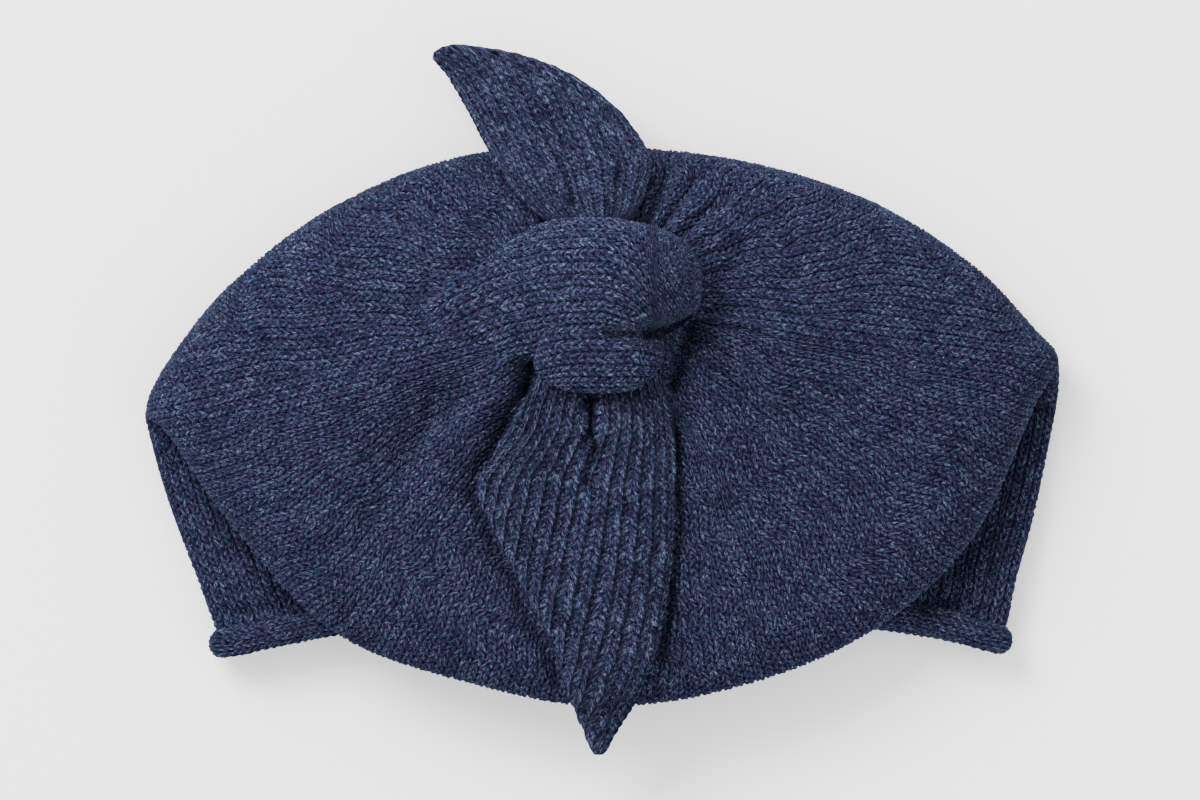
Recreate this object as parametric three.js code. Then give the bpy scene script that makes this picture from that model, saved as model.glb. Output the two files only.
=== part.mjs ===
// A knitted beanie with its top tied in a knot, lying on its back.
// The crown is folded forward over the band, so its knot faces up.
// Millimetres. X is to the right, Y runs from the hem to the top fold, Z is up.
// The origin is on the surface it lies on, below the middle of the hat.

import * as THREE from "three";

// Knitting
const knitThickness = 2.4;
const lipCornerThinness = 0.35;
const lipCornerReach = 0.6;
const lipRows = 4;

// Crown, seen from above
const crownLeft = -114.4;
const crownRight = 114.8;
const knotX = 4.6;
const knotY = 25;
const discHeight = 34;

// Rolled hem
const rollRadius = 3.5;

// Resolution
const stepsAround = 60;
const tailSides = 16;
const rollSides = 10;
const eveningPasses = 4;

const heather = { color: 0x323a52, roughness: 0.95, metalness: 0 };
const lightHeather = { color: 0x3a4460, roughness: 0.95, metalness: 0 };

// Outline of the folded crown from its left corner to its right one, at eleven places
// spaced as the cosine of equal angles: the fold at the top, and the lip at the bottom.
const crownOutline = [
  { top: -3, lip: -3 },
  { top: 10.2, lip: -8.8 },
  { top: 30, lip: -32.1 },
  { top: 48.9, lip: -58.4 },
  { top: 61.4, lip: -70.6 },
  { top: 63.8, lip: -77 },
  { top: 60.2, lip: -71.7 },
  { top: 50.2, lip: -58.3 },
  { top: 34.5, lip: -35.2 },
  { top: 17.8, lip: -0.7 },
  { top: 10, lip: 10 },
];

// Centre line of the roll, and the outer face of the wall from the hem to the fold line.
// Each ring has its two side ends, and its height and place at the middle of back and front.
const rollRing = {
  leftX: -95.4,
  leftY: -60.9,
  rightX: 100,
  rightY: -60.6,
  endZ: 8.4,
  backY: -50.4,
  backZ: 3.5,
  frontY: -50.4,
  frontZ: 16.2,
};
const wallEnds = [
  { leftX: -97.6, leftY: -57, rightX: 102.2, rightY: -56.6, endZ: 8.4 },
  { leftX: -101.5, leftY: -46, rightX: 104.4, rightY: -45.6, endZ: 7.8 },
  { leftX: -106, leftY: -34.5, rightX: 107.8, rightY: -33.6, endZ: 7.2 },
  { leftX: -109.8, leftY: -24, rightX: 110.6, rightY: -22, endZ: 6.6 },
  { leftX: -112.8, leftY: -14, rightX: 113, rightY: -10.6, endZ: 6.2 },
  { leftX: -114.4, leftY: -7.4, rightX: 114.8, rightY: -1, endZ: 6.4 },
  { leftX: -114.9, leftY: -5.4, rightX: 115.2, rightY: 3, endZ: 7 },
  { leftX: -115, leftY: -4.6, rightX: 115.3, rightY: 5.4, endZ: 7.7 },
  { leftX: -115, leftY: -4.1, rightX: 115.3, rightY: 6.8, endZ: 8.2 },
  { leftX: -115, leftY: -3.8, rightX: 115.2, rightY: 7.8, endZ: 8.8 },
  { leftX: -114.9, leftY: -3.5, rightX: 115.1, rightY: 8.6, endZ: 9.5 },
  { leftX: -114.8, leftY: -3.3, rightX: 115, rightY: 9.2, endZ: 10.3 },
  { leftX: -114.6, leftY: -3.1, rightX: 114.9, rightY: 9.6, endZ: 11.4 },
  { leftX: -114.4, leftY: -3, rightX: 114.8, rightY: 10, endZ: 13.2 },
];
const wallMiddles = [
  { backY: -46.4, backZ: 2.3, frontY: -46.4, frontZ: 17.4 },
  { backY: -34, backZ: 0.6, frontY: -36, frontZ: 17.2 },
  { backY: -20, backZ: 0, frontY: -24, frontZ: 17 },
  { backY: -5, backZ: 0, frontY: -12, frontZ: 16.6 },
  { backY: 12, backZ: 0, frontY: -1, frontZ: 16.4 },
  { backY: 26, backZ: 0, frontY: 6, frontZ: 16.8 },
  { backY: 36, backZ: 0, frontY: 8.6, frontZ: 19 },
  { backY: 43, backZ: 0, frontY: 5.6, frontZ: 21.4 },
  { backY: 48.5, backZ: 0.1, frontY: -8, frontZ: 22 },
  { backY: 53, backZ: 0.5, frontY: -28, frontZ: 22 },
  { backY: 57, backZ: 1.6, frontY: -48, frontZ: 21.8 },
  { backY: 60.4, backZ: 3.6, frontY: -63, frontZ: 21 },
  { backY: 62.8, backZ: 6.4, frontY: -72.5, frontZ: 21 },
  { backY: 63.8, backZ: 10, frontY: -77, frontZ: 24.2 },
];
const wallRings = wallEnds.map((ends, row) => ({ ...ends, ...wallMiddles[row] }));

// Upper face of the folded crown, from the fold line in to the knot.
// Reach is the share of the way from the knot to the fold line.
const discRings = [
  { reach: 0.993, sideZ: 16.2, backZ: 13.4, frontZ: 27.6 },
  { reach: 0.965, sideZ: 20.8, backZ: 16.2, frontZ: 29.6 },
  { reach: 0.92, sideZ: 24, backZ: 18.8, frontZ: 31.3 },
  { reach: 0.85, sideZ: 26.2, backZ: 21.4, frontZ: 32.4 },
  { reach: 0.76, sideZ: 27.9, backZ: 24, frontZ: 33 },
  { reach: 0.66, sideZ: 29.3, backZ: 26.6, frontZ: 33.4 },
  { reach: 0.55, sideZ: 30.6, backZ: 29, frontZ: 33.7 },
  { reach: 0.44, sideZ: 31.7, backZ: 31, frontZ: 33.9 },
  { reach: 0.33, sideZ: 33, backZ: 32.6, frontZ: 34 },
  { reach: 0.22, sideZ: 33.8, backZ: 33.6, frontZ: 34 },
  { reach: 0.11, sideZ: 34, backZ: 34, frontZ: 34 },
];

// Dents in the crown's upper face, each a straight groove from one point to another.
const creases = [
  { name: "beside the knot", fromX: 35, fromY: 36, toX: 24, toY: 18, width: 4.5, depth: 2.6 },
  { name: "below the knot's right end", fromX: 24, fromY: 18, toX: 19, toY: -6, width: 4, depth: 2 },
  { name: "left of the knot", fromX: -17, fromY: 14, toX: -22, toY: -4, width: 4, depth: 2.4 },
  { name: "lower left, upper half", fromX: -40, fromY: 0, toX: -49, toY: -15, width: 7, depth: 1.6 },
  { name: "lower left, lower half", fromX: -49, fromY: -15, toX: -56, toY: -34, width: 7, depth: 1.6 },
  { name: "lower right", fromX: 41, fromY: -5, toX: 63, toY: -17, width: 8, depth: 1.5 },
  { name: "right of the upper tail", fromX: 17, fromY: 58, toX: 12, toY: 44, width: 3, depth: 1.6 },
  { name: "first gather", fromX: 20, fromY: 44, toX: 27, toY: 56, width: 2.6, depth: 1.1 },
  { name: "second gather", fromX: 26, fromY: 42, toX: 37, toY: 52, width: 2.8, depth: 1.1 },
];

// Tails of the knot from top to bottom of the view: left and right edge of each section,
// underside, thickness, and how deep the fold line along the middle is.
const upperTail = [
  { leftX: -42.2, leftY: 88, rightX: -38, rightY: 89.3, bottom: 12.2, thick: 3.2, fold: 0 },
  { leftX: -41.8, leftY: 86, rightX: -31, rightY: 89, bottom: 11.8, thick: 5, fold: 0 },
  { leftX: -39.6, leftY: 83, rightX: -19, rightY: 86.6, bottom: 12.4, thick: 6, fold: 0 },
  { leftX: -36.6, leftY: 78.6, rightX: -8, rightY: 82.2, bottom: 13.6, thick: 6.8, fold: 0.05 },
  { leftX: -33.6, leftY: 73.2, rightX: 0.2, rightY: 76.6, bottom: 15.4, thick: 7.4, fold: 0.1 },
  { leftX: -30.8, leftY: 67.6, rightX: 6.2, rightY: 70.6, bottom: 17, thick: 7.8, fold: 0.15 },
  { leftX: -28.2, leftY: 62.6, rightX: 10.6, rightY: 64.6, bottom: 19.6, thick: 8, fold: 0.2 },
  { leftX: -25.4, leftY: 57.4, rightX: 12.6, rightY: 59.2, bottom: 23.4, thick: 8, fold: 0.25 },
  { leftX: -20.6, leftY: 50.4, rightX: 11, rightY: 52.8, bottom: 27.3, thick: 7.8, fold: 0.3 },
  { leftX: -16.4, leftY: 46.4, rightX: 9.4, rightY: 48.2, bottom: 29.5, thick: 7.2, fold: 0.25 },
  { leftX: -11.6, leftY: 43.6, rightX: 6.6, rightY: 44.4, bottom: 31, thick: 6.2, fold: 0.1 },
];
const lowerTail = [
  { leftX: -15, leftY: 8.6, rightX: 13, rightY: 8.6, bottom: 34.3, thick: 4.4, fold: 0.1 },
  { leftX: -18.6, leftY: 1, rightX: 15.6, rightY: 1, bottom: 34.3, thick: 4.8, fold: 0.35 },
  { leftX: -23.4, leftY: -7, rightX: 17.4, rightY: -7, bottom: 34.3, thick: 5.6, fold: 0.35 },
  { leftX: -27.8, leftY: -15, rightX: 18, rightY: -15, bottom: 34.3, thick: 5.8, fold: 0.15 },
  { leftX: -30.8, leftY: -23.4, rightX: 18.2, rightY: -24, bottom: 34.3, thick: 5.8, fold: 0.05 },
  { leftX: -27.6, leftY: -31, rightX: 18, rightY: -33, bottom: 34.2, thick: 5.8, fold: 0 },
  { leftX: -22.6, leftY: -41, rightX: 17.4, rightY: -42.4, bottom: 34, thick: 5.8, fold: 0 },
  { leftX: -17, leftY: -51.6, rightX: 16, rightY: -52.4, bottom: 33.6, thick: 5.8, fold: 0 },
  { leftX: -11.6, leftY: -62, rightX: 14, rightY: -62.4, bottom: 33, thick: 5.8, fold: 0 },
  { leftX: -9.4, leftY: -70.2, rightX: 10.8, rightY: -70.4, bottom: 31.6, thick: 5.6, fold: 0 },
  { leftX: -7, leftY: -77, rightX: 7.8, rightY: -77, bottom: 28, thick: 5.4, fold: 0 },
  { leftX: -4.2, leftY: -83.2, rightX: 3.2, rightY: -83.2, bottom: 24.6, thick: 5, fold: 0 },
  { leftX: -2, leftY: -88.6, rightX: 0.8, rightY: -88.6, bottom: 22.6, thick: 3, fold: 0 },
];

// Wraps of the knot, as sections across their length from left to right.
const overWrap = [
  { x: -33, low: 20, high: 34, bottom: 34.3, top: 35.2 },
  { x: -28, low: 15, high: 38.4, bottom: 34.4, top: 37.2 },
  { x: -22, low: 12, high: 42, bottom: 34.6, top: 40.6 },
  { x: -15, low: 12.6, high: 44.4, bottom: 34.8, top: 45.4 },
  { x: -7, low: 14, high: 45.2, bottom: 35, top: 50.4 },
  { x: 1, low: 14.4, high: 45.2, bottom: 35, top: 53.4 },
  { x: 8, low: 14.8, high: 44.2, bottom: 35, top: 54.2 },
  { x: 14, low: 16, high: 42.6, bottom: 34.8, top: 53 },
  { x: 19, low: 18.8, high: 40, bottom: 34.6, top: 50 },
  { x: 22.6, low: 22, high: 36.6, bottom: 34.6, top: 46 },
  { x: 24.6, low: 25.4, high: 32.8, bottom: 35.4, top: 42 },
];
const underWrap = [
  { x: -14.4, low: 5.6, high: 12.4, bottom: 39.2, top: 42 },
  { x: -12, low: 3.4, high: 13.2, bottom: 39.3, top: 44.6 },
  { x: -7, low: 2.2, high: 13.6, bottom: 39.5, top: 46.6 },
  { x: 0, low: 1.8, high: 13.8, bottom: 39.6, top: 47.4 },
  { x: 6, low: 2.8, high: 14, bottom: 39.5, top: 46.8 },
  { x: 11, low: 5.6, high: 14.6, bottom: 39.3, top: 45 },
  { x: 14.2, low: 10.2, high: 15, bottom: 39.2, top: 42.4 },
];

function mix(from, to, share) {
  return from + (to - from) * share;
}

// Smooth curve through evenly spaced values that run round in a loop.
function loopCurve(values, place) {
  const count = values.length;
  const first = Math.floor(place);
  const t = place - first;
  const [a, b, c, d] = [-1, 0, 1, 2].map((step) => values[(first + step + count) % count]);
  return b + 0.5 * t * (c - a + t * (2 * a - 5 * b + 4 * c - d + t * (3 * (b - c) + d - a)));
}

// The crown's outline once round, from the right corner over the top and back by the lip.
const last = crownOutline.length - 1;
const outlineLoop = [
  ...crownOutline.slice(1).reverse().map((row) => row.top),
  ...crownOutline.slice(0, last).map((row) => row.lip),
];

function foldY(angle) {
  return loopCurve(outlineLoop, (angle / Math.PI) * last);
}

// How far a ring bows out at this angle: 0 at its two ends, 1 at the middle of back and front.
function bow(angle) {
  const middle = Math.sin(angle) >= 0 ? Math.PI / 2 : 1.5 * Math.PI;
  const ends = (at) => mix(foldY(Math.PI), foldY(0), (1 + Math.cos(at)) / 2);
  return (foldY(angle) - ends(angle)) / (foldY(middle) - ends(middle));
}

// The back lies flat on the surface, up to a quarter round at each side end.
const backCorner = 0.36;

function backRise(angle) {
  return Math.sin((Math.PI / 2) * Math.min(1, Math.sin(angle) / backCorner));
}

// The front is half of a low ellipse.
function frontRise(angle) {
  return Math.abs(Math.sin(angle));
}

function wallPoint(ring, angle) {
  const isBack = Math.sin(angle) >= 0;
  const across = (1 + Math.cos(angle)) / 2;
  const endY = mix(ring.leftY, ring.rightY, across);
  const middleY = isBack ? ring.backY : ring.frontY;
  const middleZ = isBack ? ring.backZ : ring.frontZ;
  const rise = isBack ? backRise(angle) : frontRise(angle);
  return new THREE.Vector3(
    mix(ring.leftX, ring.rightX, across),
    endY + (middleY - (ring.leftY + ring.rightY) / 2) * bow(angle),
    mix(ring.endZ, middleZ, rise),
  );
}

function creaseDepth(x, y) {
  let depth = 0;
  for (const crease of creases) {
    const runX = crease.toX - crease.fromX;
    const runY = crease.toY - crease.fromY;
    const along = ((x - crease.fromX) * runX + (y - crease.fromY) * runY) / (runX * runX + runY * runY);
    const near = Math.max(0, Math.min(1, along));
    const away = Math.hypot(x - crease.fromX - near * runX, y - crease.fromY - near * runY);
    depth = Math.max(depth, crease.depth * Math.exp(-((away / crease.width) ** 2)));
  }
  return depth;
}

function discPoint(ring, angle) {
  const across = (1 + Math.cos(angle)) / 2;
  const x = mix(knotX, mix(crownLeft, crownRight, across), ring.reach);
  const y = mix(knotY, foldY(angle), ring.reach);
  const towardsFront = (1 - Math.sin(angle)) / 2;
  const middleZ = mix(ring.backZ, ring.frontZ, towardsFront);
  const sag = ring.sideZ - (ring.backZ + ring.frontZ) / 2;
  const z = middleZ + sag * Math.cos(angle) ** 2;
  return new THREE.Vector3(x, y, z - creaseDepth(x, y));
}

function ringOf(pointAt, ring) {
  return Array.from({ length: stepsAround }, (_, step) => pointAt(ring, (2 * Math.PI * step) / stepsAround));
}

// The knit is drawn thin where the lip folds sharply, towards its two corners.
function thicknessAt(row, step) {
  const fromCorner = Math.min(1, Math.abs(Math.sin((2 * Math.PI * step) / stepsAround)) / lipCornerReach);
  const fromLip = Math.min(1, Math.abs(row - wallRings.length + 0.5) / lipRows);
  return knitThickness * mix(lipCornerThinness, 1, Math.max(fromCorner, fromLip));
}

// Inner face of the wall: each outer point moved in along the surface's own normal.
function offsetRings(rings, pole) {
  return rings.map((ring, row) =>
    ring.map((point, step) => {
      const next = ring[(step + 1) % ring.length];
      const previous = ring[(step + ring.length - 1) % ring.length];
      const inner = row + 1 < rings.length ? rings[row + 1][step] : pole;
      const outer = row > 0 ? rings[row - 1][step] : point;
      const normal = next.clone().sub(previous).cross(inner.clone().sub(outer)).normalize();
      return point.clone().addScaledVector(normal, -thicknessAt(row, step));
    }),
  );
}

// Evens out the inner face, so that it doesn't cross itself inside a tight fold.
// A point moves only if that leaves the wall as thick as it was, or thicker.
function evenRings(rings, outer) {
  return rings.map((ring, row) => {
    if (row === 0 || row + 1 === rings.length) {
      return ring;
    }
    return ring.map((point, step) => {
      const moved = point
        .clone()
        .multiplyScalar(4)
        .add(rings[row - 1][step])
        .add(rings[row + 1][step])
        .add(ring[(step + 1) % ring.length])
        .add(ring[(step + ring.length - 1) % ring.length])
        .divideScalar(8);
      const from = outer[row][step];
      return moved.distanceTo(from) > point.distanceTo(from) ? moved : point;
    });
  });
}

function solidFrom(points, faces) {
  const geometry = new THREE.BufferGeometry();
  const numbers = points.flatMap((point) => [point.x, point.y, point.z]);
  geometry.setAttribute("position", new THREE.Float32BufferAttribute(numbers, 3));
  geometry.setIndex(faces.flat());
  geometry.computeVertexNormals();
  return geometry;
}

// Triangles between two loops of points, each given by the number of its first point.
function strip(first, second, count) {
  const faces = [];
  for (let step = 0; step < count; step += 1) {
    const next = (step + 1) % count;
    faces.push([first + step, first + next, second + next], [first + step, second + next, second + step]);
  }
  return faces;
}

function crownGeometry() {
  const outer = [
    ...wallRings.map((ring) => ringOf(wallPoint, ring)),
    ...discRings.map((ring) => ringOf(discPoint, ring)),
  ];
  const pole = new THREE.Vector3(knotX, knotY, discHeight);
  let inner = offsetRings(outer, pole);
  for (let pass = 0; pass < eveningPasses; pass += 1) {
    inner = evenRings(inner, outer);
  }
  const innerPole = pole.clone().setZ(discHeight - knitThickness);
  const points = [...outer.flat(), pole, ...inner.flat(), innerPole];
  const innerStart = outer.length * stepsAround + 1;
  const faces = [];
  for (let row = 0; row + 1 < outer.length; row += 1) {
    const from = row * stepsAround;
    faces.push(...strip(from, from + stepsAround, stepsAround));
    faces.push(...strip(innerStart + from + stepsAround, innerStart + from, stepsAround));
  }
  faces.push(...strip(innerStart, 0, stepsAround));
  const lastRing = (outer.length - 1) * stepsAround;
  for (let step = 0; step < stepsAround; step += 1) {
    const next = (step + 1) % stepsAround;
    faces.push([lastRing + step, lastRing + next, innerStart - 1]);
    faces.push([innerStart + lastRing + next, innerStart + lastRing + step, points.length - 1]);
  }
  return solidFrom(points, faces);
}

// A tube of round section along a closed ring.
function rollGeometry() {
  const centres = ringOf(wallPoint, rollRing);
  const points = centres.flatMap((centre, step) => {
    const next = centres[(step + 1) % stepsAround];
    const previous = centres[(step + stepsAround - 1) % stepsAround];
    const tangent = next.clone().sub(previous).normalize();
    const side = new THREE.Vector3(0, 1, 0).cross(tangent).normalize();
    const up = tangent.clone().cross(side);
    return Array.from({ length: rollSides }, (_, corner) => {
      const turn = (2 * Math.PI * corner) / rollSides;
      return centre
        .clone()
        .addScaledVector(side, rollRadius * Math.cos(turn))
        .addScaledVector(up, rollRadius * Math.sin(turn));
    });
  });
  const faces = [];
  for (let step = 0; step < stepsAround; step += 1) {
    const next = (step + 1) % stepsAround;
    faces.push(...strip(step * rollSides, next * rollSides, rollSides));
  }
  return solidFrom(points, faces);
}

// A solid through a row of sections, each a loop of points, closed at both ends.
function loftGeometry(sections) {
  const count = sections[0].length;
  const middle = (loop) => loop.reduce((sum, p) => sum.add(p), new THREE.Vector3()).divideScalar(count);
  const points = [...sections.flat(), middle(sections[0]), middle(sections.at(-1))];
  const faces = [];
  for (let row = 0; row + 1 < sections.length; row += 1) {
    faces.push(...strip(row * count, (row + 1) * count, count));
  }
  const end = (sections.length - 1) * count;
  for (let step = 0; step < count; step += 1) {
    const next = (step + 1) % count;
    faces.push([step, points.length - 2, next], [end + step, end + next, points.length - 1]);
  }
  return solidFrom(points, faces);
}

const edgeShare = 0.36;
const foldWidth = 0.16;

// A flat folded tail: round at its edges, with a fold line pressed into its upper face.
function tailSection(row) {
  return Array.from({ length: tailSides }, (_, corner) => {
    const turn = (2 * Math.PI * corner) / tailSides;
    const across = (1 + Math.cos(turn)) / 2;
    const edge = row.bottom + edgeShare * row.thick;
    const isTop = Math.sin(turn) > 0;
    const pressed = isTop ? 1 - row.fold * Math.exp(-((Math.cos(turn) / foldWidth) ** 2)) : 1;
    const reach = isTop ? row.thick * (1 - edgeShare) * pressed : row.thick * edgeShare;
    return new THREE.Vector3(
      mix(row.leftX, row.rightX, across),
      mix(row.leftY, row.rightY, across),
      edge + reach * Math.sin(turn),
    );
  });
}

function wrapSection(row) {
  return Array.from({ length: tailSides }, (_, corner) => {
    const turn = (2 * Math.PI * corner) / tailSides;
    const edge = mix(row.bottom, row.top, edgeShare);
    const reach = Math.sin(turn) > 0 ? row.top - edge : edge - row.bottom;
    const y = mix(row.low, row.high, (1 + Math.cos(turn)) / 2);
    return new THREE.Vector3(row.x, y, edge + reach * Math.sin(turn));
  });
}

function piece(name, geometry, look) {
  const mesh = new THREE.Mesh(geometry, new THREE.MeshStandardMaterial(look));
  mesh.name = name;
  return mesh;
}

const beanie = new THREE.Group();
beanie.add(
  piece("crown", crownGeometry(), heather),
  piece("rolled_hem", rollGeometry(), heather),
  piece("upper_tail", loftGeometry(upperTail.map(tailSection)), lightHeather),
  piece("lower_tail", loftGeometry(lowerTail.map(tailSection)), lightHeather),
  piece("knot_under_wrap", loftGeometry(underWrap.map(wrapSection)), lightHeather),
  piece("knot_over_wrap", loftGeometry(overWrap.map(wrapSection)), lightHeather),
);

export default beanie;
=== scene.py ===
import math

import bmesh
import bpy
import numpy as np
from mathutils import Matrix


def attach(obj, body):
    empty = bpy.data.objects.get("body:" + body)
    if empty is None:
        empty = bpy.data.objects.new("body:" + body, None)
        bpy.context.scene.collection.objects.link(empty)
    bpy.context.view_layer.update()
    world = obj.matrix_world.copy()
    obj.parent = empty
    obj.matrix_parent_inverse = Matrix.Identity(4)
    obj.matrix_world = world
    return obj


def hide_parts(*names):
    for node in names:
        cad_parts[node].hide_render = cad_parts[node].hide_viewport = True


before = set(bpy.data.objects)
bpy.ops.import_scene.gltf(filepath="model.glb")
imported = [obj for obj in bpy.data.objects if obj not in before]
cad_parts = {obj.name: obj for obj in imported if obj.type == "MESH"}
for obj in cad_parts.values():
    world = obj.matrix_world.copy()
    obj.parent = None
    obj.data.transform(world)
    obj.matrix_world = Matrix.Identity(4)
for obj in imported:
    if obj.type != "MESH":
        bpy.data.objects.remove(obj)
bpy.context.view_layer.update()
print("frame loaded")

millimetre = 0.001
turnOnce = 2 * math.pi


def mix(low, high, share):
    return low + (high - low) * share


def smooth(share):
    share = np.clip(share, 0, 1)
    return share * share * (3 - 2 * share)


def cubic(a, b, c, d, t):
    return b + 0.5 * t * (c - a + t * (2 * a - 5 * b + 4 * c - d + t * (3 * (b - c) + d - a)))


def openCurve(table, place):  # smooth curve through the rows of a table
    table = np.asarray(table, float)
    place = np.clip(place, 0, len(table) - 1)
    first = np.minimum(place.astype(int), len(table) - 2)
    t = (place - first)[..., None]
    before = table[np.maximum(first - 1, 0)]
    after = table[np.minimum(first + 2, len(table) - 1)]
    return cubic(before, table[first], table[first + 1], after, t)


def loopCurve(values, place):  # the same through a row of values that closes on itself
    values = np.asarray(values, float)
    first = np.floor(place).astype(int)
    a, b, c, d = (values[(first + step) % len(values)] for step in (-1, 0, 1, 2))
    return cubic(a, b, c, d, place - first)


def unit(vectors):
    length = np.linalg.norm(vectors, axis=-1, keepdims=True)
    return vectors / np.maximum(length, 1e-9)


def nearLine(x, y, line):  # distance from a line's two ends and the stretch between them
    fromX, fromY, toX, toY = line[:4]
    runX, runY = toX - fromX, toY - fromY
    along = np.clip(((x - fromX) * runX + (y - fromY) * runY) / (runX**2 + runY**2), 0, 1)
    return np.hypot(x - fromX - along * runX, y - fromY - along * runY)


def pressed(x, y, lines):  # depth of the deepest crease at a place
    depth = np.zeros(np.shape(x))
    for line in lines:
        depth = np.maximum(depth, line[5] * np.exp(-((nearLine(x, y, line) / line[4]) ** 2)))
    return depth


# knit stitches

stitch = {
    "waleWidth": 2.8,  # one column of stitches, in millimetres
    "courseHeight": 2.0,  # one row of stitches
    "tilt": 0.4,  # how far the gap between two rows climbs from a column's middle to its edge
    "lean": 0.55,  # how far a leg leans outwards on its way up
    "legReach": 0.96,  # share of the column that its two legs cover
    "relief": 0.85,  # height of a leg over the gaps round it
    "round": 0.08,  # how much lower the edge of a column lies than its middle
    "furrow": 0.2,  # extra depth between two columns
    "furrowShade": 0.4,  # how much darker it is there
    "middleGap": 0.85,  # depth of the gap between the two legs of a column, against their outer one
    "subColumns": 6,  # points across one stitch
    "contrast": 0.96,  # of the wool's flecks
}
underside = dict(stitch, subColumns=4)  # the back, which lies on the floor
bandLook = dict(stitch, furrow=0.36)
rib = dict(stitch, waleWidth=4.2, legReach=0.87, round=0.42, furrow=0.8, furrowShade=0.55)
rib.update(middleGap=0.6, contrast=1.18)
softRib = dict(rib, legReach=0.9, round=0.25, furrow=0.45, furrowShade=0.38)
wrapRib = dict(stitch, waleWidth=3.3, courseHeight=2.2, legReach=0.94, round=0.14)
wrapRib.update(furrow=0.22, furrowShade=0.32, contrast=1.06)

legForm = {  # what the legs of every kind of stitch share
    "through": 0.3,  # share of a leg's height that runs on over the gaps between two rows
    "edge": 0.25,  # share of the rest that is left at its two long edges
    "bluntness": 0.7,  # power of the curve along it; a lower one gives blunter ends
    "gapFrom": 0.8,  # where the furrow begins, on the way from a column's middle to its edge
    "gapWidth": 0.3,
    "spread": (0.8, 1.2),  # least and most relief of a leg, against its look's
}

uneven = {
    "fuzz": 0.03,  # height of the fine roughness of the wool
    "fuzzSizes": (1.3, 2.6),
    "fuzzSeed": 23,
    "waleShift": 0.035,  # how far the stitches stray from their place, in columns and rows
    "waleSeed": 21,
    "courseShift": 0.06,
    "courseSeed": 22,
    "shiftSizes": (6, 14),
    "waves": 12,
}


def waves(x, y, sizes, count, seed):  # soft random unevenness, about 1 high
    chance = np.random.default_rng(seed)
    height = np.zeros(np.shape(x))
    for _ in range(count):
        heading = chance.uniform(0, turnOnce)
        steepness = turnOnce / chance.uniform(*sizes)
        run = x * math.cos(heading) + y * math.sin(heading)
        height += np.sin(run * steepness + chance.uniform(0, turnOnce))
    return height / math.sqrt(count / 2)


def strayed(base, wale, course):  # stitch coordinates with some unevenness
    x, y = base[..., 0], base[..., 1]
    sizes, count = uneven["shiftSizes"], uneven["waves"]
    wale = wale + uneven["waleShift"] * waves(x, y, sizes, count, uneven["waleSeed"])
    course = course + uneven["courseShift"] * waves(x, y, sizes, count, uneven["courseSeed"])
    return wale, course


def fuzz(base):
    x, y = base[..., 0], base[..., 1]
    return uneven["fuzz"] * waves(x, y, uneven["fuzzSizes"], uneven["waves"], uneven["fuzzSeed"])


def stitchHeight(wale, course, look):
    fromMiddle = np.abs(2 * (wale % 1) - 1) / look["legReach"]
    onLeg = np.minimum(fromMiddle, 1)
    climb = course - look["tilt"] * onLeg
    phase = climb % 1
    onWay = onLeg - look["lean"] * (phase - 0.5)
    across = np.maximum(0, 1 - (2 * onWay - 1) ** 2 * np.where(onWay < 0.5, look["middleGap"], 1))
    along = np.sin(math.pi * phase) ** legForm["bluntness"]
    through, edge = legForm["through"], legForm["edge"]
    leg = through * across + (1 - through) * along * (edge + (1 - edge) * across)
    gap = smooth((fromMiddle - legForm["gapFrom"]) / legForm["gapWidth"])
    relief = look["relief"] * mix(*legForm["spread"], legChance(np.floor(wale * 2), np.floor(climb)))
    # taking off the two means keeps the stitches level with the skin
    return relief * (leg - 0.5) - look["round"] * (onLeg**2 - 0.4) - look["furrow"] * gap


def legChance(column, row):  # a number from 0 to 1 for each leg, the same every time
    return (np.sin(column * 12.9898 + row * 78.233) * 43758.5453) % 1


# meshes

floorGap = 0.03  # the cloth is pressed flat this far above the floor
weldDistance = 1e-6  # in metres
bakeGap = 6  # between the islands of the flat layout
bakeMargin = 0.005  # share of the layout left free at its edges


def newMesh(name, points, faces, layers):
    mesh = bpy.data.meshes.new(name)
    points[:, 2] = np.maximum(points[:, 2], floorGap)
    mesh.from_pydata((points * millimetre).tolist(), [], faces.tolist())
    for layerName, corners in layers.items():
        layer = mesh.uv_layers.new(name=layerName)
        layer.data.foreach_set("uv", np.asarray(corners, np.float32).ravel())
    mesh.shade_smooth()
    weld(mesh)
    piece = bpy.data.objects.new(name, mesh)
    bpy.context.scene.collection.objects.link(piece)
    return piece


def weld(mesh):  # joins points that meet and drops what has no size
    shape = bmesh.new()
    shape.from_mesh(mesh)
    bmesh.ops.remove_doubles(shape, verts=shape.verts, dist=weldDistance)
    bmesh.ops.dissolve_degenerate(shape, dist=weldDistance / 10, edges=shape.edges)
    loose = [v for v in shape.verts if not v.link_faces]
    bmesh.ops.delete(shape, geom=loose, context="VERTS")
    shape.to_mesh(mesh)
    shape.free()


def gridFaces(rows, columns, closed=False):  # quads of a grid of points, row by row
    row, column = np.meshgrid(np.arange(rows - 1), np.arange(columns - (not closed)), indexing="ij")
    following = (column + 1) % columns
    corners = [row * columns + column, row * columns + following]
    corners += [(row + 1) * columns + following, (row + 1) * columns + column]
    return np.stack(corners, axis=-1).reshape(-1, 4)


def solidFaces(points, faces, least=1e-3):  # leaves out the quads that have no area
    p = points[faces]
    area = np.linalg.norm(np.cross(p[:, 2] - p[:, 0], p[:, 3] - p[:, 1]), axis=1)
    return area > least


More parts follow.
